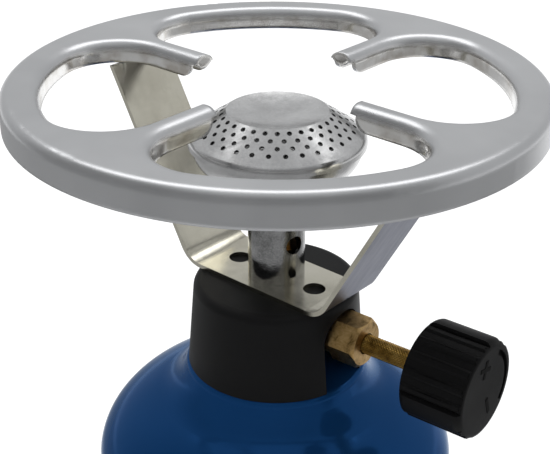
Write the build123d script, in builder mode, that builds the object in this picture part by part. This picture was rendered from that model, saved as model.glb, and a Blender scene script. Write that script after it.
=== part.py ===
from build123d import *
from math import acos, cos, degrees, hypot, radians, sin, sqrt, tan
import os

# A camping gas burner that stands on its own cartridge: a base cup and a bell close round the can, a
# needle valve on the bell feeds a burner, and a stamped ring on a bent strip carries the pan.
# Lengths are millimetres and angles are degrees. +Z is up, the valve and its knob point along +X, and
# the origin is the centre of the flat base.

# Clearances and overruns that every piece shares
running_gap = 0.05
nest_gap = 0.15
turning_gap = 0.3
overrun = 2.0

# Gas cartridge, a pierceable steel can
can_radius = 45.0
can_height = 90.0
can_crown_height = 18.0
can_sheet = 0.6
can_crown_radius = 12.0
can_foot_fillet = 5.0
can_dish_radius = 38.0
can_dish_depth = 4.0
pierced_hole_radius = 2.0

# Housing sheet: the base cup, and the bell that screws over its rim
housing_sheet = 0.8
can_side_gap = 0.5
base_corner_radius = 5.0
base_bead_radius = 28.0
base_bead_width = 5.0
base_bead_height = 1.0
cup_rim_gap = 1.0
bell_edge_height = 38.0
band_height = 13.0
band_flare_height = 2.5
neck_margin = 0.7
neck_edge_radius = 1.4
collar_flare = 3.0
collar_fillet = 12.0
dome_drop = 3.6
dome_height = 24.7

# Cartridge seal, piercing needle and gas filter
seal_thickness = 3.0
seal_radius = 8.4
needle_radius = 1.6
needle_bore_radius = 0.8
needle_reach = 10.0
filter_thickness = 2.0

# Top cap, the plastic shroud round the valve
cap_base_radius = 22.3
cap_top_radius = 20.5
cap_height = 22.5
cap_wall = 2.0
cap_roof = 2.2
cap_edge_fillet = 2.2
slot_half_width = 7.2
slot_crown_gap = 1.4

# Valve body, clamped through the neck of the bell
valve_drop = 8.7
valve_axis_rise = 13.3
valve_stem_radius = 9.0
valve_flange_radius = 12.5
valve_flange_height = 2.6
valve_block_radius = 9.6
needle_socket_radius = 6.5
needle_socket_depth = 6.0
inlet_radius = 1.1
outlet_radius = 1.5
seat_port_radius = 1.0
seat_distance = 4.0
boss_radius = 5.2
boss_setback = 2.6
spindle_bore_radius = 3.3
gland_bore_radius = 4.0
gland_depth = 5.5
nipple_radius = 5.0
nipple_height = 8.5
lock_nut_flats = 26.0
lock_nut_height = 4.0
washer_radius = 15.5
washer_thickness = 1.0

# Gland nut, valve spindle, its seal and the knob
nut_flats = 11.0
nut_length = 7.6
nut_chamfer_share = 0.86
nut_bore_radius = 2.7
stem_radius = 2.3
spindle_travel = 1.5
collar_start = 7.0
collar_end_gap = 0.2
needle_tip_slope = 0.5
o_ring_section = 0.5
o_ring_groove_share = 0.66
stem_exposed = 16.1
knob_length = 16.2
knob_radius = 12.3
knob_rib_count = 3
knob_rib_start = 75.0
knob_rib_width = 5.0
knob_rib_height = 1.0
knob_edge_fillet = 1.8
knob_socket_depth = 11.0
knob_groove_radius = 9.3
knob_groove_width = 1.3
knob_groove_depth = 1.0
knob_groove_start = -40.0
knob_groove_sweep = 100.0

# Bracket, one bent strip clamped between the cap and the mixing tube
bracket_turn = -3.7
bracket_sheet = 1.1
bracket_width = 19.0
bracket_bend_radius = 6.0
bracket_top_bend_radius = 2.0
arm_foot = 21.0
tab_length = 9.0
tab_rim_gap = 4.2
tab_width = 8.4
peep_hole_radius = 2.75
peep_hole_distance = 12.2

# Pan support, a stamped ring with four fingers
support_turn = bracket_turn
support_rise = 51.2
support_radius = 63.0
support_sheet = 1.0
support_skirt = 7.4
support_edge_radius = 2.4
lobe_edge_radius = 2.9
rim_width = 9.1
lobe_flange = 5.4
finger_count = 4
finger_width = 6.4
finger_tip_radius = 23.4
finger_root_radius = 13.1
tip_tab_width = 5.0
tip_tab_depth = 3.1
tip_tab_root = 1.9
tip_notch = 0.6
tip_corner_radius = 3.0

# Mixing tube and injector
tube_radius = 7.05
tube_wall = 1.0
tube_length = 26.0
tube_foot_height = 6.0
air_hole_radius = 2.35
air_hole_rise = 10.5
air_hole_turn = -14.0
injector_flats = 7.0
injector_head_height = 2.4
injector_nose_height = 2.0
injector_nose_radius = 1.6
injector_thread_radius = 2.5
injector_thread_length = 4.5
jet_radius = 0.3

# Burner head: a perforated cap crimped over a bowl
head_radius = 21.3
head_sheet = 0.7
head_rise = 43.3
head_dish_radius = 12.05
head_dish_depth = 1.6
head_slope = 34.0
head_band_radius = 1.8
head_skirt = 0.7
bowl_sleeve_length = 8.0
bowl_throat_margin = 1.4
flame_rows = 4
flame_holes_per_row = 30
flame_turn = 7.0
flame_hole_radius = 0.62
flame_hole_sides = 8
first_row_radius = 13.1
last_row_radius = 18.1

# Places that follow from the sizes above
housing_radius = can_radius + can_side_gap + housing_sheet
cup_height = bell_edge_height + band_height - band_flare_height - cup_rim_gap
can_base = housing_sheet
can_wall_height = can_height - can_crown_height
can_top = can_base + can_height
valve_base = can_top + seal_thickness
neck_top = valve_base + valve_drop
valve_axis = neck_top + valve_axis_rise
cap_top = neck_top + cap_height
boss_reach = cap_base_radius - boss_setback
knob_start = boss_reach + nut_length + stem_exposed
plate_top = cap_top + bracket_sheet
support_top = plate_top + support_rise
lobe_radius = support_radius - rim_width
head_top = plate_top + head_rise
tube_top = plate_top + tube_length
valve_line = Axis((0, 0, valve_axis), (1, 0, 0))

os.makedirs("parts", exist_ok=True)


def upright(turn, height):
    """Vertical plane through the Z axis, turned about it, whose own origin is at the given height."""
    along = (cos(radians(turn)), sin(radians(turn)), 0)
    across = (sin(radians(turn)), -cos(radians(turn)), 0)
    return Plane(origin=(0, 0, height), x_dir=along, z_dir=across)


def level(turn, height):
    """Horizontal plane turned about the Z axis."""
    along = (cos(radians(turn)), sin(radians(turn)), 0)
    return Plane(origin=(0, 0, height), x_dir=along, z_dir=(0, 0, 1))


def facing(turn, distance, height):
    """Vertical plane that faces outward, square to a radius, at a distance from the Z axis."""
    outward = Vector(cos(radians(turn)), sin(radians(turn)), 0)
    centre = outward * distance + Vector(0, 0, height)
    return Plane(origin=centre, x_dir=(-outward.Y, outward.X, 0), z_dir=outward)


# Base cup: drawn sheet with a stiffening bead pressed up into its floor
def base_floor(lift):
    """Half of the floor line from the axis to the corner, raised by the sheet for the inner face."""
    bead_in = base_bead_radius - base_bead_width / 2
    bead_out = base_bead_radius + base_bead_width / 2
    Line((0, lift), (bead_in, lift))
    ThreePointArc((bead_in, lift), (base_bead_radius, lift + base_bead_height), (bead_out, lift))
    Line((bead_out, lift), (housing_radius - base_corner_radius, lift))


with BuildPart() as base_cup:
    with BuildSketch(Plane.XZ):
        with BuildLine():
            corner_centre = (housing_radius - base_corner_radius, base_corner_radius)
            cup_inside = housing_radius - housing_sheet
            base_floor(0)
            CenterArc(corner_centre, base_corner_radius, -90, 90)
            Line((housing_radius, base_corner_radius), (housing_radius, cup_height))
            Line((housing_radius, cup_height), (cup_inside, cup_height))
            Line((cup_inside, cup_height), (cup_inside, base_corner_radius))
            CenterArc(corner_centre, base_corner_radius - housing_sheet, 0, -90)
            base_floor(housing_sheet)
            Line((0, 0), (0, housing_sheet))
        make_face()
    revolve(axis=Axis.Z)
base_cup.part.label = "base_cup"
export_step(base_cup.part, "parts/base_cup.step")


# Gas cartridge: a hollow can with a dished base and a domed top that the needle has pierced
def can_outline(inset):
    """Half outline of the can, drawn in from its outside by the inset."""
    side = can_radius - inset
    foot = can_foot_fillet - inset
    TangentArc((0, can_base + can_dish_depth + inset), (can_dish_radius, can_base + inset), tangent=(1, 0))
    Line((can_dish_radius, can_base + inset), (can_radius - can_foot_fillet, can_base + inset))
    CenterArc((can_radius - can_foot_fillet, can_base + can_foot_fillet), foot, -90, 90)
    Line((side, can_base + can_foot_fillet), (side, can_base + can_wall_height))
    EllipticalCenterArc(
        (can_crown_radius, can_base + can_wall_height),
        side - can_crown_radius,
        can_height - can_wall_height - inset,
        arc_size=90,
    )
    Line((can_crown_radius, can_top - inset), (0, can_top - inset))
    Line((0, can_top - inset), (0, can_base + can_dish_depth + inset))


with BuildPart() as gas_cartridge:
    with BuildSketch(Plane.XZ):
        with BuildLine():
            can_outline(0)
        make_face()
        with BuildLine():
            can_outline(can_sheet)
        make_face(mode=Mode.SUBTRACT)
    revolve(axis=Axis.Z)
    with BuildSketch(Plane.XY.offset(can_top)):
        Circle(pierced_hole_radius)
    extrude(amount=-can_sheet - overrun, mode=Mode.SUBTRACT)
gas_cartridge.part.label = "gas_cartridge"
export_step(gas_cartridge.part, "parts/gas_cartridge.step")


# Upper housing: a spun bell with a flat neck, and a widened band that screws over the base cup
neck_radius = cap_base_radius + neck_margin
collar_radius = neck_radius + collar_flare
dome_base = neck_top - dome_drop - dome_height
band_top = bell_edge_height + band_height


def collar_foot(inset):
    """Angle along the dome's ellipse, radius and height at which the collar meets the dome."""
    radius = collar_radius - inset
    sweep = acos(radius / (housing_radius - inset))
    return sweep, radius, dome_base + (dome_height - inset) * sin(sweep)


def bell_outline(inset):
    """Half outline of the bell from its neck hole to its lower edge, drawn in by the inset."""
    neck_hole = valve_stem_radius + nest_gap
    neck_edge = neck_radius - neck_edge_radius
    band = housing_radius + turning_gap + housing_sheet - inset
    shoulder = neck_top - neck_edge_radius
    sweep, foot_radius, foot_height = collar_foot(inset)
    Line((neck_hole, neck_top - inset), (neck_edge - inset, neck_top - inset))
    CenterArc((neck_edge - inset, shoulder - inset), neck_edge_radius, 90, -90)
    Line((neck_radius - inset, shoulder - inset), (foot_radius, foot_height))
    EllipticalCenterArc((0, dome_base), housing_radius - inset, dome_height - inset, arc_size=degrees(sweep))
    Line((housing_radius - inset, dome_base), (housing_radius - inset, band_top))
    Line((housing_radius - inset, band_top), (band, band_top - band_flare_height))
    Line((band, band_top - band_flare_height), (band, bell_edge_height))


with BuildPart() as upper_housing:
    with BuildSketch(Plane.XZ):
        with BuildLine():
            bell_outline(0)
            bell_outline(housing_sheet)
            hole_wall = valve_stem_radius + nest_gap
            band_wall = housing_radius + turning_gap
            Line((hole_wall, neck_top), (hole_wall, neck_top - housing_sheet))
            Line((band_wall, bell_edge_height), (band_wall + housing_sheet, bell_edge_height))
        make_face()
        for inset in (0, housing_sheet):
            sweep, foot_radius, foot_height = collar_foot(inset)
            foot = vertices().sort_by_distance((foot_radius, foot_height))[0]
            fillet(foot, collar_fillet + inset)
    revolve(axis=Axis.Z)
upper_housing.part.label = "upper_housing"
export_step(upper_housing.part, "parts/upper_housing.step")


# Cartridge seal: a rubber ring pinched between the valve and the crown of the can
with BuildPart() as cartridge_seal:
    with BuildSketch(Plane.XY.offset(can_top)):
        Circle(seal_radius)
        Circle(needle_radius + nest_gap, mode=Mode.SUBTRACT)
    extrude(amount=seal_thickness)
cartridge_seal.part.label = "cartridge_seal"
export_step(cartridge_seal.part, "parts/cartridge_seal.step")


# Piercing needle: a hollow spike cut on the slant, on a plug that is pressed into the valve
with BuildPart() as piercing_needle:
    with BuildSketch(Plane.XY.offset(valve_base)):
        Circle(needle_socket_radius - running_gap)
    extrude(amount=needle_socket_depth - filter_thickness)
    with BuildSketch(Plane.XY.offset(valve_base)):
        Circle(needle_radius)
    extrude(amount=-needle_reach)
    with BuildSketch(Plane.XZ):
        with BuildLine():
            Polyline(
                (-needle_radius, valve_base - needle_reach + 2 * needle_radius),
                (needle_radius, valve_base - needle_reach),
                (-needle_radius - overrun, valve_base - needle_reach),
                (-needle_radius - overrun, valve_base - needle_reach + 2 * needle_radius),
                close=True,
            )
        make_face()
    extrude(amount=needle_radius + overrun, both=True, mode=Mode.SUBTRACT)
    with BuildSketch(Plane.XY.offset(valve_base - needle_reach)):
        Circle(needle_bore_radius)
    extrude(amount=needle_reach + needle_socket_depth, mode=Mode.SUBTRACT)
piercing_needle.part.label = "piercing_needle"
export_step(piercing_needle.part, "parts/piercing_needle.step")


# Gas filter: a felt disc between the needle's plug and the inlet passage
with BuildPart() as gas_filter:
    with BuildSketch(Plane.XY.offset(valve_base + needle_socket_depth - filter_thickness)):
        Circle(needle_socket_radius - running_gap)
    extrude(amount=filter_thickness)
gas_filter.part.label = "gas_filter"
export_step(gas_filter.part, "parts/gas_filter.step")


# Valve body: a turned brass body with a side boss for the spindle and a nipple for the mixing tube
block_top = cap_top - cap_roof - running_gap
inlet_offset = seat_distance + inlet_radius + running_gap
with BuildPart() as valve_body:
    with BuildSketch(Plane.XZ):
        with BuildLine():
            Polyline(
                (0, valve_base),
                (valve_stem_radius, valve_base),
                (valve_stem_radius, neck_top),
                (valve_flange_radius, neck_top),
                (valve_flange_radius, neck_top + valve_flange_height),
                (valve_block_radius, neck_top + valve_flange_height),
                (valve_block_radius, block_top),
                (nipple_radius, block_top),
                (nipple_radius, plate_top + nipple_height),
                (0, plate_top + nipple_height),
                close=True,
            )
        make_face()
    revolve(axis=Axis.Z)
    with BuildSketch(Plane.YZ):
        with Locations((0, valve_axis)):
            Circle(boss_radius)
    extrude(amount=boss_reach)
    # spindle bore, gland thread and seat port, along the valve line
    with BuildSketch(Plane.XZ):
        with BuildLine():
            Polyline(
                (0, valve_axis),
                (0, valve_axis + seat_port_radius),
                (seat_distance, valve_axis + seat_port_radius),
                (seat_distance, valve_axis + spindle_bore_radius),
                (boss_reach - gland_depth, valve_axis + spindle_bore_radius),
                (boss_reach - gland_depth, valve_axis + gland_bore_radius),
                (boss_reach + overrun, valve_axis + gland_bore_radius),
                (boss_reach + overrun, valve_axis),
                close=True,
            )
        make_face()
    revolve(axis=valve_line, mode=Mode.SUBTRACT)
    # needle socket, inlet passage, outlet passage and injector thread
    with BuildSketch(Plane.XY.offset(valve_base)):
        Circle(needle_socket_radius)
    extrude(amount=needle_socket_depth, mode=Mode.SUBTRACT)
    with BuildSketch(Plane.XY.offset(valve_base)):
        with Locations((inlet_offset, 0)):
            Circle(inlet_radius)
    extrude(amount=valve_axis - valve_base, mode=Mode.SUBTRACT)
    with BuildSketch(Plane.XY.offset(valve_axis)):
        Circle(outlet_radius)
    extrude(amount=plate_top + nipple_height - valve_axis, mode=Mode.SUBTRACT)
    with BuildSketch(Plane.XY.offset(plate_top + nipple_height)):
        Circle(injector_thread_radius)
    extrude(amount=-injector_thread_length - nest_gap, mode=Mode.SUBTRACT)
valve_body.part.label = "valve_body"
export_step(valve_body.part, "parts/valve_body.step")


# Neck washer and lock nut that clamp the valve body to the neck from inside the bell
washer_top = neck_top - housing_sheet
with BuildPart() as neck_washer:
    with BuildSketch(Plane.XY.offset(washer_top)):
        Circle(washer_radius)
        Circle(valve_stem_radius + nest_gap, mode=Mode.SUBTRACT)
    extrude(amount=-washer_thickness)
neck_washer.part.label = "neck_washer"
export_step(neck_washer.part, "parts/neck_washer.step")

with BuildPart() as valve_lock_nut:
    with BuildSketch(Plane.XY.offset(washer_top - washer_thickness)):
        RegularPolygon(lock_nut_flats / 2, 6, major_radius=False)
        Circle(valve_stem_radius + running_gap, mode=Mode.SUBTRACT)
    extrude(amount=-lock_nut_height)
valve_lock_nut.part.label = "valve_lock_nut"
export_step(valve_lock_nut.part, "parts/valve_lock_nut.step")


# Top cap: a moulded shroud with a rounded top edge and a slot for the valve's boss
slot_top = valve_axis + boss_radius + slot_crown_gap
with BuildPart() as top_cap:
    with BuildSketch(Plane.XZ):
        with BuildLine():
            Polyline(
                (0, neck_top),
                (cap_base_radius, neck_top),
                (cap_top_radius, cap_top),
                (0, cap_top),
                close=True,
            )
        make_face()
    revolve(axis=Axis.Z)
    fillet(top_cap.edges().group_by(Axis.Z)[-1], cap_edge_fillet)
    with BuildSketch(Plane.XZ):
        with BuildLine():
            Polyline(
                (0, neck_top),
                (cap_base_radius - cap_wall, neck_top),
                (cap_top_radius - cap_wall, cap_top - cap_roof),
                (0, cap_top - cap_roof),
                close=True,
            )
        make_face()
    revolve(axis=Axis.Z, mode=Mode.SUBTRACT)
    with BuildSketch(Plane.XY.offset(cap_top)):
        Circle(nipple_radius + turning_gap)
    extrude(amount=-cap_roof - overrun, mode=Mode.SUBTRACT)
    with BuildSketch(Plane.YZ):
        with BuildLine():
            Polyline(
                (slot_half_width, slot_top - slot_half_width),
                (slot_half_width, neck_top - overrun),
                (-slot_half_width, neck_top - overrun),
                (-slot_half_width, slot_top - slot_half_width),
            )
            ThreePointArc(
                (-slot_half_width, slot_top - slot_half_width),
                (0, slot_top),
                (slot_half_width, slot_top - slot_half_width),
            )
        make_face()
    extrude(amount=cap_base_radius + overrun, mode=Mode.SUBTRACT)
top_cap.part.label = "top_cap"
export_step(top_cap.part, "parts/top_cap.step")


# Gland nut: a hexagon with a turned front and a spigot that screws into the valve's boss
spigot_end = boss_reach - gland_depth + nest_gap
nut_face = boss_reach + nut_length
nut_corner = nut_flats / sqrt(3)
nut_round = nut_corner * nut_chamfer_share
with BuildPart() as gland_nut:
    with BuildSketch(Plane.YZ.offset(boss_reach)):
        with Locations((0, valve_axis)):
            RegularPolygon(nut_flats / 2, 6, major_radius=False)
    extrude(amount=nut_length)
    with BuildSketch(Plane.XZ):
        with BuildLine():
            Polyline(
                (nut_face, valve_axis + nut_round),
                (nut_face, valve_axis + nut_corner + overrun),
                (nut_face - (nut_corner + overrun - nut_round), valve_axis + nut_corner + overrun),
                close=True,
            )
        make_face()
    revolve(axis=valve_line, mode=Mode.SUBTRACT)
    with BuildSketch(Plane.YZ.offset(spigot_end)):
        with Locations((0, valve_axis)):
            Circle(gland_bore_radius - running_gap)
    extrude(amount=boss_reach - spigot_end)
    with BuildSketch(Plane.YZ.offset(spigot_end)):
        with Locations((0, valve_axis)):
            Circle(nut_bore_radius)
    extrude(amount=nut_face - spigot_end, mode=Mode.SUBTRACT)
gland_nut.part.label = "gland_nut"
export_step(gland_nut.part, "parts/gland_nut.step")


# Valve spindle: needle point, threaded collar with a groove for its seal, and the stem in the knob
collar_radius_spindle = spindle_bore_radius - running_gap
collar_end = spigot_end - spindle_travel - collar_end_gap
point_radius = seat_port_radius - running_gap
point_start = seat_distance - point_radius / needle_tip_slope
cone_end_radius = (collar_start - point_start) * needle_tip_slope
groove_middle = collar_start + (collar_end - collar_start) * o_ring_groove_share
groove_half = o_ring_section + nest_gap
o_ring_radius = spindle_bore_radius - running_gap - o_ring_section
groove_floor = o_ring_radius - o_ring_section - running_gap
stem_end = knob_start + knob_socket_depth
with BuildPart() as valve_spindle:
    with BuildSketch(Plane.XZ):
        with BuildLine():
            Polyline(
                (point_start, valve_axis),
                (collar_start, valve_axis + cone_end_radius),
                (collar_start, valve_axis + collar_radius_spindle),
                (groove_middle - groove_half, valve_axis + collar_radius_spindle),
                (groove_middle - groove_half, valve_axis + groove_floor),
                (groove_middle + groove_half, valve_axis + groove_floor),
                (groove_middle + groove_half, valve_axis + collar_radius_spindle),
                (collar_end, valve_axis + collar_radius_spindle),
                (collar_end, valve_axis + stem_radius),
                (stem_end, valve_axis + stem_radius),
                (stem_end, valve_axis),
                close=True,
            )
        make_face()
    revolve(axis=valve_line)
valve_spindle.part.label = "valve_spindle"
export_step(valve_spindle.part, "parts/valve_spindle.step")

# Stem seal: a rubber ring in the spindle's groove
with BuildPart() as stem_o_ring:
    with BuildSketch(Plane.XZ):
        with Locations((groove_middle, valve_axis + o_ring_radius)):
            Circle(o_ring_section)
    revolve(axis=valve_line)
stem_o_ring.part.label = "stem_o_ring"
export_step(stem_o_ring.part, "parts/stem_o_ring.step")


# Knob: a moulded drum with raised grip ribs, a curved groove in its face and a socket for the stem
knob_end = knob_start + knob_length
knob_drum_radius = knob_radius - knob_rib_height
with BuildPart() as knob:
    with BuildSketch(Plane.YZ.offset(knob_start)):
        with Locations((0, valve_axis)):
            Circle(knob_drum_radius)
            with PolarLocations(knob_radius / 2, knob_rib_count, start_angle=knob_rib_start):
                Rectangle(knob_radius, knob_rib_width)
    extrude(amount=knob_length)
    with BuildSketch(Plane.XZ):
        with BuildLine():
            Polyline(
                (knob_start, valve_axis),
                (knob_start, valve_axis + knob_radius),
                (knob_end, valve_axis + knob_radius),
                (knob_end, valve_axis),
                close=True,
            )
        make_face()
        fillet(vertices().group_by(Axis.Y)[-1], knob_edge_fillet)
    revolve(axis=valve_line, mode=Mode.INTERSECT)
    with BuildSketch(Plane.YZ.offset(knob_end)):
        with BuildLine():
            CenterArc((0, valve_axis), knob_groove_radius, knob_groove_start, knob_groove_sweep)
        trace(line_width=knob_groove_width)
    extrude(amount=-knob_groove_depth, mode=Mode.SUBTRACT)
    with BuildSketch(Plane.YZ.offset(knob_start)):
        with Locations((0, valve_axis)):
            Circle(stem_radius + running_gap)
    extrude(amount=knob_socket_depth + nest_gap, mode=Mode.SUBTRACT)
knob.part.label = "knob"
export_step(knob.part, "parts/knob.step")


# Support bracket: a flat strip bent into a trough, with narrow tabs welded under the pan support
strip_middle = bracket_sheet / 2
tab_height = support_rise - support_sheet - strip_middle
arm_head = support_radius - support_sheet - tab_rim_gap - tab_length
shoulder_height = support_rise - lobe_flange - turning_gap
with BuildPart() as support_bracket:
    with BuildSketch(upright(bracket_turn, plate_top)):
        with BuildLine():
            FilletPolyline(
                (-arm_head - tab_length, tab_height),
                (-arm_head, tab_height),
                (-arm_foot, -strip_middle),
                (arm_foot, -strip_middle),
                (arm_head, tab_height),
                (arm_head + tab_length, tab_height),
                radius=[
                    bracket_top_bend_radius + strip_middle,
                    bracket_bend_radius + strip_middle,
                    bracket_bend_radius + strip_middle,
                    bracket_top_bend_radius + strip_middle,
                ],
            )
        trace(line_width=bracket_sheet)
    extrude(amount=bracket_width / 2, both=True)
    with BuildSketch(level(bracket_turn, plate_top + shoulder_height)):
        shoulder_width = (bracket_width - tab_width) / 2 + overrun
        with Locations((0, tab_width / 2 + shoulder_width / 2), (0, -tab_width / 2 - shoulder_width / 2)):
            Rectangle(2 * (arm_head + tab_length + overrun), shoulder_width)
    extrude(amount=support_rise, mode=Mode.SUBTRACT)
    with BuildSketch(level(bracket_turn, plate_top)):
        Circle(nipple_radius + nest_gap)
        with Locations((peep_hole_distance, 0), (-peep_hole_distance, 0)):
            Circle(peep_hole_radius)
    extrude(amount=-bracket_sheet - overrun, mode=Mode.SUBTRACT)
support_bracket.part.label = "support_bracket"
export_step(support_bracket.part, "parts/support_bracket.step")


# Pan support: a stamped ring, open underneath, whose lobes and fingers have turned-down flanges
root_zone = (lobe_radius + finger_tip_radius) / 2
with BuildSketch() as lobes:
    Circle(lobe_radius)
    with PolarLocations(finger_tip_radius + support_radius / 2, finger_count):
        Rectangle(support_radius, finger_width, mode=Mode.SUBTRACT)
    root_corners = lobes.vertices().filter_by(lambda corner: corner.center().length > root_zone)
    fillet(root_corners, finger_root_radius)


def roll_edges(shell, end_radius, inset):
    """Rounds over the top face's rim and its lobes, all but the square ends of the fingers."""
    edges = shell.faces().sort_by(Axis.Z)[-1].edges()
    rim_middle = lobe_radius + rim_width / 2
    rim = edges.filter_by(lambda edge: hypot((edge @ 0.5).X, (edge @ 0.5).Y) > rim_middle)
    sides = edges.filter_by(
        lambda edge: end_radius + nest_gap < hypot((edge @ 0.5).X, (edge @ 0.5).Y) < rim_middle
    )
    fillet(rim, support_edge_radius - inset)
    fillet(sides, lobe_edge_radius - inset)


with BuildPart() as support_hollow:
    with BuildSketch(level(support_turn, support_top - support_sheet)):
        Circle(support_radius - support_sheet)
        offset(lobes.sketch, amount=support_sheet, kind=Kind.INTERSECTION, mode=Mode.SUBTRACT)
    extrude(amount=-lobe_flange)
    roll_edges(support_hollow, finger_tip_radius + support_sheet, support_sheet)
    with BuildSketch(Plane.XY.offset(support_top - lobe_flange)):
        Circle(support_radius - support_sheet)
    extrude(amount=-support_skirt)

finger_turns = [support_turn + 360 / finger_count * finger for finger in range(finger_count)]
tip_planes = [facing(turn, finger_tip_radius - overrun, support_top) for turn in finger_turns]
flange_middle = (finger_width - support_sheet) / 2
flange_planes = [
    upright(turn, support_top).offset(side * flange_middle) for turn in finger_turns for side in (-1, 1)
]
with BuildPart() as pan_support:
    with BuildSketch(level(support_turn, support_top)):
        Circle(support_radius)
        add(lobes.sketch, mode=Mode.SUBTRACT)
    extrude(amount=-support_skirt)
    roll_edges(pan_support, finger_tip_radius, 0)
    add(support_hollow.part, mode=Mode.SUBTRACT)
    # each fingertip keeps a rounded tab of its own, notched free of the side flanges
    with BuildSketch(*tip_planes):
        with BuildLine():
            Polyline(
                (tip_tab_width / 2, -tip_tab_root),
                (finger_width / 2 + overrun, -tip_tab_root),
                (finger_width / 2 + overrun, -lobe_flange - overrun),
                (-finger_width / 2 - overrun, -lobe_flange - overrun),
                (-finger_width / 2 - overrun, -tip_tab_root),
                (-tip_tab_width / 2, -tip_tab_root),
            )
            ThreePointArc(
                (-tip_tab_width / 2, -tip_tab_root),
                (0, -tip_tab_depth),
                (tip_tab_width / 2, -tip_tab_root),
            )
        make_face()
    extrude(amount=overrun + support_sheet + tip_notch, mode=Mode.SUBTRACT)
    # the lower corners of the side flanges are rounded off at the tip
    with BuildSketch(*flange_planes):
        with BuildLine():
            corner = finger_tip_radius + support_sheet + tip_notch
            arc_end = corner + tip_corner_radius
            arc_height = -lobe_flange + tip_corner_radius
            Polyline(
                (corner, arc_height),
                (corner, -lobe_flange - overrun),
                (arc_end, -lobe_flange - overrun),
                (arc_end, -lobe_flange),
            )
            CenterArc((arc_end, arc_height), tip_corner_radius, 180, 90)
        make_face()
    extrude(amount=support_sheet / 2 + nest_gap, both=True, mode=Mode.SUBTRACT)
pan_support.part.label = "pan_support"
export_step(pan_support.part, "parts/pan_support.step")


# Mixing tube: screws onto the nipple, clamps the bracket and draws air in beside the injector
with BuildPart() as mixing_tube:
    with BuildSketch(Plane.XY.offset(plate_top)):
        Circle(tube_radius)
    extrude(amount=tube_length)
    with BuildSketch(Plane.XY.offset(plate_top)):
        Circle(nipple_radius + running_gap)
    extrude(amount=tube_foot_height, mode=Mode.SUBTRACT)
    with BuildSketch(Plane.XY.offset(plate_top + tube_foot_height)):
        Circle(tube_radius - tube_wall)
    extrude(amount=tube_length - tube_foot_height, mode=Mode.SUBTRACT)
    with BuildSketch(facing(air_hole_turn, 0, plate_top + air_hole_rise)):
        Circle(air_hole_radius)
    extrude(amount=tube_radius + overrun, both=True, mode=Mode.SUBTRACT)
mixing_tube.part.label = "mixing_tube"
export_step(mixing_tube.part, "parts/mixing_tube.step")


# Injector: a small hexagon jet screwed into the end of the nipple
injector_base = plate_top + nipple_height
with BuildPart() as injector:
    with BuildSketch(Plane.XY.offset(injector_base)):
        RegularPolygon(injector_flats / 2, 6, major_radius=False)
    extrude(amount=injector_head_height)
    with BuildSketch(Plane.XY.offset(injector_base)):
        Circle(injector_thread_radius - running_gap)
    extrude(amount=-injector_thread_length)
    with BuildSketch(Plane.XY.offset(injector_base + injector_head_height)):
        Circle(injector_nose_radius)
    extrude(amount=injector_nose_height)
    with BuildSketch(Plane.XY.offset(injector_base - injector_thread_length)):
        Circle(outlet_radius)
    extrude(amount=injector_thread_length + injector_head_height / 2, mode=Mode.SUBTRACT)
    with BuildSketch(Plane.XY.offset(injector_base)):
        Circle(jet_radius)
    extrude(amount=injector_head_height + injector_nose_height, mode=Mode.SUBTRACT)
injector.part.label = "injector"
export_step(injector.part, "parts/injector.step")


# Burner head: places where the cap's cone turns into its band and its skirt
slope = radians(head_slope)
band_centre_radius = head_radius - head_band_radius
band_start_radius = band_centre_radius + head_band_radius * sin(slope)
skirt_top = head_top - (band_start_radius - head_dish_radius) * tan(slope) - head_band_radius * cos(slope)
skirt_base = skirt_top - head_skirt
bowl_radius = head_radius - head_sheet - nest_gap
bowl_throat = tube_radius + bowl_throat_margin
sleeve_radius = tube_radius - tube_wall - nest_gap
sleeve_base = tube_top - bowl_sleeve_length


# Burner bowl: a drawn cup that stands on the mixing tube, with a sleeve inside it
def bowl_outline(inset):
    """Half outline of the bowl from its sleeve to its rim, drawn in by the inset."""
    Line((sleeve_radius - inset, sleeve_base), (sleeve_radius - inset, tube_top + inset))
    Line((sleeve_radius - inset, tube_top + inset), (bowl_throat, tube_top + inset))
    EllipticalCenterArc(
        (bowl_throat, skirt_base),
        bowl_radius - bowl_throat - inset,
        skirt_base - tube_top - inset,
        start_angle=-90,
        arc_size=90,
    )
    Line((bowl_radius - inset, skirt_base), (bowl_radius - inset, skirt_top))


with BuildPart() as burner_bowl:
    with BuildSketch(Plane.XZ):
        with BuildLine():
            bowl_outline(0)
            bowl_outline(head_sheet)
            Line((sleeve_radius - head_sheet, sleeve_base), (sleeve_radius, sleeve_base))
            Line((bowl_radius - head_sheet, skirt_top), (bowl_radius, skirt_top))
        make_face()
    revolve(axis=Axis.Z)
burner_bowl.part.label = "burner_bowl"
export_step(burner_bowl.part, "parts/burner_bowl.step")


# Burner cap: a dished top, a cone pierced by rows of flame holes, and a skirt crimped over the bowl
def head_outline(inset):
    """Half outline of the cap from its axis to the foot of its skirt, drawn in by the inset."""
    rim = head_dish_radius - inset * tan(slope / 2)
    band = head_band_radius - inset
    band_start = (band_centre_radius + band * sin(slope), skirt_top + band * cos(slope))
    TangentArc((0, head_top - head_dish_depth - inset), (rim, head_top - inset), tangent=(1, 0))
    Line((rim, head_top - inset), band_start)
    CenterArc((band_centre_radius, skirt_top), band, 0, 90 - head_slope)
    Line((head_radius - inset, skirt_top), (head_radius - inset, skirt_base))


flame_planes = []
for row in range(flame_rows):
    row_radius = first_row_radius + (last_row_radius - first_row_radius) * row / (flame_rows - 1)
    row_height = head_top - (row_radius - head_dish_radius) * tan(slope)
    for hole in range(flame_holes_per_row):
        turn = radians(flame_turn + 360 / flame_holes_per_row * (hole + row / 2))
        outward = (sin(slope) * cos(turn), sin(slope) * sin(turn), cos(slope))
        middle = (row_radius * cos(turn), row_radius * sin(turn), row_height)
        flame_planes.append(Plane(middle, z_dir=outward))

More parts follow.
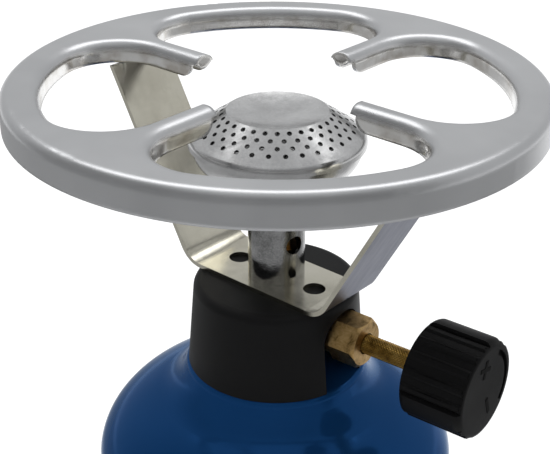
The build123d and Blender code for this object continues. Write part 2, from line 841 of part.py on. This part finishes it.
with BuildPart() as burner_cap:
    with BuildSketch(Plane.XZ):
        with BuildLine():
            head_outline(0)
            head_outline(head_sheet)
            Line((0, head_top - head_dish_depth - head_sheet), (0, head_top - head_dish_depth))
            Line((head_radius - head_sheet, skirt_base), (head_radius, skirt_base))
        make_face()
    revolve(axis=Axis.Z)
    with BuildSketch(*flame_planes):
        RegularPolygon(flame_hole_radius, flame_hole_sides)
    extrude(amount=2 * head_sheet, both=True, mode=Mode.SUBTRACT)
burner_cap.part.label = "burner_cap"
export_step(burner_cap.part, "parts/burner_cap.step")
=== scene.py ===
import bpy
import bmesh
from math import cos, radians, sin
from mathutils import Matrix, Vector


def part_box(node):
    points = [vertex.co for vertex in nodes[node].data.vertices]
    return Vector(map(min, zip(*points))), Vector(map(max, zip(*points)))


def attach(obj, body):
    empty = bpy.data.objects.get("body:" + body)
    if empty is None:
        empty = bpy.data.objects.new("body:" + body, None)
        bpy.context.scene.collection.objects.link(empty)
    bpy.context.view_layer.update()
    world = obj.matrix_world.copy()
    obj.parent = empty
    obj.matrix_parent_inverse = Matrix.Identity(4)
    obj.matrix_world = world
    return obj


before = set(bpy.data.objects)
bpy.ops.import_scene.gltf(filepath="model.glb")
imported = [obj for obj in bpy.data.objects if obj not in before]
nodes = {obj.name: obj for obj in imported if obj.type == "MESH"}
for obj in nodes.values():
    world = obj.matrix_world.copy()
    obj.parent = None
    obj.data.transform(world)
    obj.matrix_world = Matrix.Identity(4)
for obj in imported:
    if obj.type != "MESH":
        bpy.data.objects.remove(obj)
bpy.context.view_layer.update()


# materials

edge_samples = 8


class Mat:
    """A node material with one Principled shader and short names for the nodes it is fed by."""

    def __init__(self, name, metallic=0.0):
        self.mat = bpy.data.materials.new(name)
        self.mat.use_nodes = True
        self.tree = self.mat.node_tree
        self.bsdf = self.tree.nodes["Principled BSDF"]
        self.bsdf.inputs["Metallic"].default_value = metallic
        self.place = self.tree.nodes.new("ShaderNodeTexCoord").outputs["Object"]

    def link(self, a, b):
        self.tree.links.new(a, b)

    def set(self, socket, value):
        self.bsdf.inputs[socket].default_value = value

    def stretch(self, x, y, z):
        node = self.tree.nodes.new("ShaderNodeMapping")
        node.inputs["Scale"].default_value = (x, y, z)
        self.link(self.place, node.inputs["Vector"])
        return node.outputs["Vector"]

    def noise(self, scale, detail=4.0, rough=0.55, where=None, distort=0.0):
        node = self.tree.nodes.new("ShaderNodeTexNoise")
        node.inputs["Scale"].default_value = scale
        node.inputs["Detail"].default_value = detail
        node.inputs["Roughness"].default_value = rough
        node.inputs["Distortion"].default_value = distort
        self.link(where or self.place, node.inputs["Vector"])
        return node.outputs["Fac"]

    def ramp(self, fac, stops):
        node = self.tree.nodes.new("ShaderNodeValToRGB")
        band = node.color_ramp
        while len(band.elements) < len(stops):
            band.elements.new(0.5)
        for element, (at, colour) in zip(band.elements, stops):
            element.position = at
            element.color = (*colour, 1.0)
        self.link(fac, node.inputs["Fac"])
        return node.outputs["Color"]

    def spread(self, fac, low, high, start=0.3, end=0.7):
        node = self.tree.nodes.new("ShaderNodeMapRange")
        node.inputs["From Min"].default_value = start
        node.inputs["From Max"].default_value = end
        node.inputs["To Min"].default_value = low
        node.inputs["To Max"].default_value = high
        self.link(fac, node.inputs["Value"])
        return node.outputs["Result"]

    def mix(self, fac, a, b):
        node = self.tree.nodes.new("ShaderNodeMix")
        node.data_type = "RGBA"
        self.link(fac, node.inputs["Factor"])
        for socket, value in ((node.inputs[6], a), (node.inputs[7], b)):
            if isinstance(value, tuple):
                socket.default_value = (*value, 1.0)
            else:
                self.link(value, socket)
        return node.outputs[2]

    def math(self, operation, *values):
        node = self.tree.nodes.new("ShaderNodeMath")
        node.operation = operation
        for socket, value in zip(node.inputs, values):
            if isinstance(value, float):
                socket.default_value = value
            else:
                self.link(value, socket)
        return node.outputs[0]

    def add(self, a, b, share):
        """a with a share of b on top."""
        return self.math("MULTIPLY_ADD", b, share, a)

    def bump(self, height, strength, distance, edge_blend=0.0):
        """Small waves in the skin; edge_blend rounds the shading over edges, in metres."""
        node = self.tree.nodes.new("ShaderNodeBump")
        node.inputs["Strength"].default_value = strength
        node.inputs["Distance"].default_value = distance
        self.link(height, node.inputs["Height"])
        if edge_blend:
            edge = self.tree.nodes.new("ShaderNodeBevel")
            edge.samples = edge_samples
            edge.inputs["Radius"].default_value = edge_blend
            self.link(edge.outputs["Normal"], node.inputs["Normal"])
        self.link(node.outputs["Normal"], self.bsdf.inputs["Normal"])

    def facing_up(self):
        """How far the surface looks up, from -1 to 1."""
        normal = self.tree.nodes.new("ShaderNodeNewGeometry").outputs["Normal"]
        node = self.tree.nodes.new("ShaderNodeSeparateXYZ")
        self.link(normal, node.inputs["Vector"])
        return node.outputs["Z"]

    def off_axis(self):
        """Distance from the burner's upright axis, in metres."""
        node = self.tree.nodes.new("ShaderNodeVectorMath")
        node.operation = "LENGTH"
        self.link(self.stretch(1.0, 1.0, 0.0), node.inputs[0])
        return node.outputs["Value"]

    def colour(self, out):
        self.link(out, self.bsdf.inputs["Base Color"])

    def rough(self, out):
        self.link(out, self.bsdf.inputs["Roughness"])


def satin_steel(rim_inside):
    """Satin steel, with a painted reflection, bright and warm, on the less rough upright walls inside the
    rim.
    """
    m = Mat("satin_steel", metallic=1.0)
    broad = m.noise(26, 3)
    fine = m.noise(700, 3)
    # the upright walls inside the rim get a painted reflection in their colour, and a lower roughness
    upright = m.spread(m.math("ABSOLUTE", m.facing_up()), 1.0, 0.0, 0.15, 0.55)
    shinier = m.math("MULTIPLY", upright, m.math("LESS_THAN", m.off_axis(), rim_inside))
    satin = m.ramp(broad, [(0.3, (0.50, 0.505, 0.515)), (0.7, (0.60, 0.605, 0.615))])
    # painted reflection: a brighter, warm-tinted colour for the upright walls inside the rim
    painted_reflection = m.ramp(m.noise(160, 4), [
        (0.35, (0.55, 0.52, 0.48)),
        (0.55, (0.80, 0.79, 0.77)),
        (0.80, (0.86, 0.86, 0.86)),
    ])
    m.colour(m.mix(shinier, satin, painted_reflection))
    blur = m.spread(m.add(broad, fine, 0.3), 0.27, 0.35, 0.4, 0.9)
    m.rough(m.math("MULTIPLY_ADD", shinier, -0.14, blur))
    m.bump(m.noise(60, 2), 0.02, 0.0006, edge_blend=0.0013)
    return m.mat


def bright_nickel():
    """Nickel on a bent strip: polished on top and inside; faces that look down are rougher, with painted
    shade in colour and tint.
    """
    m = Mat("bright_nickel", metallic=1.0)
    streak = m.noise(90, 4, where=m.stretch(1.0, 9.0, 1.0))
    stain = m.noise(70, 6, 0.65)
    polished = m.ramp(stain, [
        (0.30, (0.54, 0.515, 0.43)),
        (0.55, (0.65, 0.625, 0.53)),
        (0.80, (0.70, 0.670, 0.59)),
    ])
    # painted shade: a darker, bluer colour on the faces that look down
    painted_underside_shade = m.ramp(stain, [(0.30, (0.21, 0.215, 0.235)), (0.70, (0.26, 0.265, 0.29))])
    shaded_underside = m.spread(m.facing_up(), 1.0, 0.0, -0.25, -0.05)
    m.colour(m.mix(shaded_underside, polished, painted_underside_shade))
    m.rough(m.spread(m.add(streak, shaded_underside, 0.8), 0.17, 0.42, 0.3, 1.4))
    # painted shade in the reflection: a dimmer, cooler specular tint on the faces that look down
    m.link(m.mix(shaded_underside, (0.9, 0.9, 0.9), (0.74, 0.75, 0.80)), m.bsdf.inputs["Specular Tint"])
    m.bump(m.add(m.noise(140, 2), m.noise(1500, 3), 0.04), 0.06, 0.0006)
    return m.mat


def chrome(name, dark, light, blur, wave, grit):
    """Plated steel: dark and light set how much it throws back, the others how even its skin is."""
    m = Mat(name, metallic=1.0)
    smear = m.noise(120, 5, 0.6)
    speck = m.noise(2100, 3, 0.7)
    m.colour(m.ramp(m.add(smear, speck, 0.5), [(0.55, (dark,) * 3), (0.95, (light,) * 3)]))
    m.rough(m.spread(smear, blur, blur + 0.09))
    m.bump(m.add(m.noise(130, 2, distort=0.6), speck, grit), wave, 0.0012)
    return m.mat


def enamel():
    """Glossy lacquer that tints the light it throws back."""
    m = Mat("blue_enamel", metallic=0.40)
    broad = m.noise(18, 3)
    speck = m.noise(900, 2)
    m.colour(m.ramp(broad, [(0.3, (0.0075, 0.0530, 0.172)), (0.7, (0.0090, 0.0610, 0.198))]))
    m.rough(m.spread(m.noise(240, 5, 0.65), 0.11, 0.18))
    m.set("Specular IOR Level", 0.1)
    m.set("Specular Tint", (0.40, 0.60, 0.85, 1.0))
    m.bump(m.add(m.noise(85, 2), speck, 0.05), 0.03, 0.0005)
    return m.mat


def black_plastic(name, gloss):
    m = Mat(name)
    grain = m.noise(1900, 4, 0.7)
    broad = m.noise(45, 4)
    m.colour(m.ramp(broad, [(0.3, (0.0050, 0.0050, 0.0052)), (0.75, (0.0080, 0.0080, 0.0082))]))
    m.rough(m.spread(broad, 0.42, 0.56))
    m.set("Specular IOR Level", gloss)
    m.bump(grain, 0.16, 0.00018)
    return m.mat


def brass(name, stained, plain, shinier):
    """Aged brass, from its stained patches through the plain metal to the rubbed spots."""
    m = Mat(name, metallic=1.0)
    patina = m.noise(330, 6, 0.68, distort=0.4)
    turned = m.noise(900, 2, where=m.stretch(6.0, 0.3, 0.3))
    m.colour(m.ramp(patina, [(0.28, stained), (0.47, plain), (0.74, shinier)]))
    m.rough(m.spread(patina, 0.46, 0.27))
    m.bump(m.add(turned, patina, 0.6), 0.10, 0.0002)
    return m.mat


def can_lacquer():
    m = Mat("can_lacquer", metallic=0.6)
    m.colour(m.ramp(m.noise(30, 3), [(0.3, (0.42, 0.43, 0.45)), (0.7, (0.50, 0.51, 0.53))]))
    m.rough(m.spread(m.noise(300, 3), 0.25, 0.4))
    return m.mat


def rubber():
    m = Mat("seal_rubber")
    m.colour(m.ramp(m.noise(200, 3), [(0.3, (0.012, 0.012, 0.012)), (0.7, (0.02, 0.02, 0.02))]))
    m.rough(m.spread(m.noise(900, 3), 0.6, 0.8))
    return m.mat


def needle_steel():
    m = Mat("needle_steel", metallic=1.0)
    m.colour(m.ramp(m.noise(300, 3), [(0.3, (0.46, 0.46, 0.46)), (0.7, (0.58, 0.58, 0.58))]))
    m.rough(m.spread(m.noise(900, 3), 0.2, 0.35))
    return m.mat


def sintered_bronze():
    m = Mat("sintered_bronze", metallic=0.9)
    m.colour(m.ramp(m.noise(1500, 3), [(0.3, (0.18, 0.11, 0.05)), (0.7, (0.42, 0.28, 0.14))]))
    m.rough(m.spread(m.noise(1500, 3), 0.5, 0.7))
    m.bump(m.noise(1500, 3), 0.5, 0.0003)
    return m.mat


def pale_floor():
    """Pale floor that the camera and the metal see as white, with the object's shadow on it."""
    m = Mat("pale_floor")
    m.colour(m.ramp(m.noise(3, 2), [(0.3, (0.84, 0.84, 0.84)), (0.7, (0.87, 0.87, 0.87))]))
    m.set("Roughness", 0.9)
    m.set("Specular IOR Level", 0.1)
    ray = m.tree.nodes.new("ShaderNodeLightPath").outputs
    seen = m.math("MAXIMUM", ray["Is Camera Ray"], ray["Is Glossy Ray"])
    seen = m.math("MAXIMUM", seen, ray["Is Transmission Ray"])
    m.set("Emission Color", (1.0, 1.0, 1.0, 1.0))
    m.link(m.spread(seen, 0.0, 0.42, 0.0, 1.0), m.bsdf.inputs["Emission Strength"])
    return m.mat


def grey_cloth(name, grey):
    """Grey cloth for the cards, which lets light through where its mesh says that it fades out."""
    m = Mat(name)
    fade = m.tree.nodes.new("ShaderNodeAttribute")
    fade.attribute_name = "fade"
    m.link(fade.outputs["Fac"], m.bsdf.inputs["Alpha"])
    m.colour(m.ramp(m.noise(8, 2), [(0.3, (grey,) * 3), (0.7, (grey * 1.15,) * 3)]))
    m.set("Roughness", 1.0)
    m.set("Specular IOR Level", 0.0)
    return m.mat


# Marks coloured darker than the knob's plastic, as painted shade standing in for the shade inside engraved
# marks.
def mark_painted_shade():
    m = Mat("mark_painted_shade")
    m.colour(m.ramp(m.noise(900, 3), [(0.3, (0.0012, 0.0012, 0.0012)), (0.7, (0.0020, 0.0020, 0.0020))]))
    m.set("Roughness", 0.7)
    m.set("Specular IOR Level", 0.1)
    return m.mat


rim_width = 0.006
steel = satin_steel(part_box("pan_support")[1].x - rim_width)
nickel = bright_nickel()
head_chrome = chrome("head_chrome", 0.48, 0.64, 0.18, 0.10, 0.02)
tube_chrome = chrome("tube_chrome", 0.12, 0.46, 0.07, 0.16, 0.12)
blue = enamel()
cap_black = black_plastic("cap_plastic", 0.16)
knob_black = black_plastic("knob_plastic", 0.08)
yellow = brass("valve_brass", (0.12, 0.072, 0.022), (0.50, 0.32, 0.124), (0.75, 0.53, 0.258))
dark_brass = brass("spindle_brass", (0.05, 0.028, 0.006), (0.28, 0.165, 0.036), (0.48, 0.31, 0.09))
coats = {
    "base_cup": blue,
    "gas_cartridge": can_lacquer(),
    "upper_housing": blue,
    "cartridge_seal": rubber(),
    "piercing_needle": needle_steel(),
    "gas_filter": sintered_bronze(),
    "valve_body": yellow,
    "neck_washer": nickel,
    "valve_lock_nut": yellow,
    "top_cap": cap_black,
    "gland_nut": yellow,
    "valve_spindle": dark_brass,
    "stem_o_ring": rubber(),
    "knob": knob_black,
    "support_bracket": nickel,
    "pan_support": steel,
    "mixing_tube": tube_chrome,
    "injector": yellow,
    "burner_bowl": head_chrome,
    "burner_cap": head_chrome,
}
for name, coat in coats.items():
    slots = nodes[name].data.materials
    slots.clear()
    slots.append(coat)


# pieces on the spindle

def to_object(shape, name, coat):
    mesh = bpy.data.meshes.new(name)
    shape.to_mesh(mesh)
    shape.free()
    mesh.materials.append(coat)
    made = bpy.data.objects.new(name, mesh)
    bpy.context.scene.collection.objects.link(made)
    return made


def add_piece(shape, name, coat):
    bmesh.ops.recalc_face_normals(shape, faces=shape.faces)
    piece = to_object(shape, name, coat)
    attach(piece, "spindle")


stem_low, stem_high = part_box("valve_spindle")
knob_low, knob_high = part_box("knob")
axis = (stem_low + stem_high) / 2
knurl_bore = 0.002305
knurl_root = 0.00233
knurl_tip = 0.00247
knurl_pitch = 0.00078
knurl_count = 20
nut_clearance = 0.0001


def knurl(start, end):
    """A sleeve on the stem with rows of small pyramids, as a diamond knurl has."""
    shape = bmesh.new()
    sides = 2 * knurl_count
    rows = 2 * round((end - start) / knurl_pitch)

    def ring(x, radii):
        points = []
        for side, radius in enumerate(radii):
            turn = radians(360 * side / sides)
            points.append(shape.verts.new((x, axis.y + radius * cos(turn), axis.z + radius * sin(turn))))
        return points

    def tooth(row, side):
        return knurl_tip if (row + side) % 2 else knurl_root

    spots = [start + (end - start) * row / rows for row in range(rows + 1)]
    outer = [ring(x, [tooth(row, side) for side in range(sides)]) for row, x in enumerate(spots)]
    first = ring(start, [knurl_bore] * sides)
    last = ring(end, [knurl_bore] * sides)
    for a in range(sides):
        b = (a + 1) % sides
        shape.faces.new((first[a], first[b], last[b], last[a]))
        shape.faces.new((outer[0][a], outer[0][b], first[b], first[a]))
        shape.faces.new((last[a], last[b], outer[-1][b], outer[-1][a]))
        for row in range(rows):
            near, far = outer[row], outer[row + 1]
            if (row + a) % 2:
                shape.faces.new((near[a], near[b], far[a]))
                shape.faces.new((near[b], far[b], far[a]))
            else:
                shape.faces.new((near[a], near[b], far[b]))
                shape.faces.new((near[a], far[b], far[a]))
    add_piece(shape, "stem_knurl", dark_brass)


knurl(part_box("gland_nut")[1].x + nut_clearance, knob_low.x)

rib_count = 3
rib_start = 75
ridges_between_ribs = 5
drum_radius = 0.0113
ridge_sink = 0.0001
ridge_height = 0.00045
ridge_foot = 0.0024
ridge_crest = 0.0012
ridge_round = 0.00015
foot_inset = 0.00016
crest_inset = 0.0006
ridge_faces = [(0, 1, 3, 2), (4, 5, 7, 6), (0, 1, 5, 4), (2, 3, 7, 6), (0, 2, 6, 4), (1, 3, 7, 5)]


def ridges():
    """Low grip ridges on the knob's drum, spaced evenly between its ribs."""
    shape = bmesh.new()
    per_rib = ridges_between_ribs + 1
    foot = (drum_radius - ridge_sink, ridge_foot / 2, foot_inset)
    crest = (drum_radius + ridge_height, ridge_crest / 2, crest_inset)
    for place in range(rib_count * per_rib):
        if place % per_rib == 0:
            continue
        turn = radians(rib_start + 360 * place / (rib_count * per_rib))
        corners = []
        for radius, half_width, inset in (foot, crest):
            for x in (knob_low.x + inset, knob_high.x - inset):
                for across in (-half_width, half_width):
                    y = axis.y + radius * cos(turn) - across * sin(turn)
                    z = axis.z + radius * sin(turn) + across * cos(turn)
                    corners.append(shape.verts.new((x, y, z)))
        for face in ridge_faces:
            shape.faces.new([corners[k] for k in face])
    bmesh.ops.bevel(shape, geom=shape.edges[:], offset=ridge_round, segments=2, profile=0.5, affect="EDGES")
    add_piece(shape, "knob_ridges", knob_black)


ridges()

mark_height = 0.0001
mark_length = 0.0046
mark_width = 0.0010
plus_place = (-0.0012, 0.0062)
minus_place = (0.0014, -0.0047)
plus_lean = radians(14)
minus_lean = radians(-18)
marks = mark_painted_shade()


def sign(name, place, lean, outline):
    """A flat mark on the knob's face, from an outline about its own middle."""
    shape = bmesh.new()
    rows = []
    for x in (knob_high.x, knob_high.x + mark_height):
        rows.append([])
        for u, v in outline:
            y = axis.y + place[0] + u * cos(lean) + v * sin(lean)
            z = axis.z + place[1] + v * cos(lean) - u * sin(lean)
            rows[-1].append(shape.verts.new((x, y, z)))
    back, front = rows
    shape.faces.new(back)
    shape.faces.new(front)
    for k in range(len(outline)):
        n = (k + 1) % len(outline)
        shape.faces.new((back[k], back[n], front[n], front[k]))
    add_piece(shape, name, marks)


reach = mark_length / 2
half = mark_width / 2
arm = [(half, reach), (half, half), (reach, half)]
corner_turns = [(1, 0, 0, 1), (0, 1, -1, 0), (-1, 0, 0, -1), (0, -1, 1, 0)]
plus_outline = [(a * u + b * v, c * u + d * v) for a, b, c, d in corner_turns for u, v in arm]
minus_outline = [(-half, -reach), (half, -reach), (half, reach), (-half, reach)]
sign("plus_mark", plus_place, plus_lean, plus_outline)
sign("minus_mark", minus_place, minus_lean, minus_outline)


# stage

floor_radius = 6.0
floor_sides = 96
floor_drop = 0.0003

ground = bmesh.new()
bmesh.ops.create_circle(ground, cap_ends=True, cap_tris=False, segments=floor_sides, radius=floor_radius)
ground_plate = to_object(ground, "floor", pale_floor())
ground_plate.location = (0, 0, -floor_drop)

key_place = Vector((-0.38, 0.505, 1.38))
key_aim = Vector((0, 0, 0.13))
key_width = 1.7
key_height = 0.6
key_watts = 6.0

key = bpy.data.lights.new("key", "AREA")
key.shape = "RECTANGLE"
key.size = key_width
key.size_y = key_height
key.energy = key_watts
key_lamp = bpy.data.objects.new("key", key)
key_lamp.location = key_place
key_lamp.rotation_euler = (key_aim - key_place).to_track_quat("-Z", "Y").to_euler()
bpy.context.scene.collection.objects.link(key_lamp)

sky_colour = (0.95, 0.96, 0.97, 1.0)
sky_strength = 0.66

world = bpy.data.worlds.new("studio")
world.use_nodes = True
sky = world.node_tree.nodes["Background"]
sky.inputs["Color"].default_value = sky_colour
sky.inputs["Strength"].default_value = sky_strength
bpy.context.scene.world = world


flag_steps = 40
flag_radius = 0.9
end_fade = 40
wall_top = 82
wall_fade = 32
wall_turns = (-95, 120)
wall_grey = 0.40
table_start = 0.06
table_fade = 0.16
table_height = 0.002
table_turns = (-152, 178)
table_grey = 0.48


def ease(share):
    """From 0 to 1, with soft ends."""
    share = min(max(share, 0.0), 1.0)
    return share * share * (3 - 2 * share)


def flag(name, outline, turns, grey):
    """A grey card swept round the object, seen only as a reflection, that fades out at its ends.

    The outline is a row of (radius, height, how solid the card is there), and turns are in degrees.
    """
    shape = bmesh.new()
    fade = shape.verts.layers.float.new("fade")
    start, end = turns
    rows = []
    for step in range(flag_steps + 1):
        turn = start + (end - start) * step / flag_steps
        strength = ease(min(turn - start, end - turn) / end_fade)
        rows.append([])
        for radius, height, share in outline:
            vert = shape.verts.new((radius * sin(radians(turn)), -radius * cos(radians(turn)), height))
            vert[fade] = strength * share
            rows[-1].append(vert)
    for near, far in zip(rows, rows[1:]):
        for k in range(len(outline) - 1):
            shape.faces.new((near[k], far[k], far[k + 1], near[k + 1]))
    card = to_object(shape, name, grey_cloth(name, grey))
    card.visible_camera = False
    card.visible_diffuse = False
    card.visible_transmission = False
    card.visible_shadow = False


wall = []
table = []
for step in range(flag_steps + 1):
    lift = wall_top * step / flag_steps
    solid = ease((wall_top - lift) / wall_fade)
    wall.append((flag_radius * cos(radians(lift)), flag_radius * sin(radians(lift)), solid))
    radius = table_start + (flag_radius - table_start) * step / flag_steps
    table.append((radius, table_height, ease((radius - table_start) / table_fade)))
flag("dark_wall", wall, wall_turns, wall_grey)
flag("dark_table", table, table_turns, table_grey)


# camera, fitted to the photograph

azimuth = radians(37.0)
tilt = radians(26.95)
roll = radians(0.4)
camera_place = (0.15715, -0.20854, 0.27154)
lens = 78.59
sensor = 36.0
photo_width = 550
shift_pixels = -1.64

toward = Vector((sin(azimuth) * cos(tilt), -cos(azimuth) * cos(tilt), sin(tilt)))
right = Vector((cos(azimuth), sin(azimuth), 0.0))
up = toward.cross(right)
turned_right = cos(roll) * right + sin(roll) * up
turned_up = cos(roll) * up - sin(roll) * right
view = Matrix((turned_right, turned_up, toward)).transposed().to_4x4()
view.translation = camera_place
camera = bpy.data.objects.new("camera", bpy.data.cameras.new("camera"))
camera.data.lens = lens
camera.data.sensor_width = sensor
camera.data.shift_x = shift_pixels / photo_width
camera.data.clip_start = 0.01
camera.matrix_world = view
bpy.context.scene.collection.objects.link(camera)
bpy.context.scene.camera = camera
bpy.context.scene.view_settings.view_transform = "Standard"
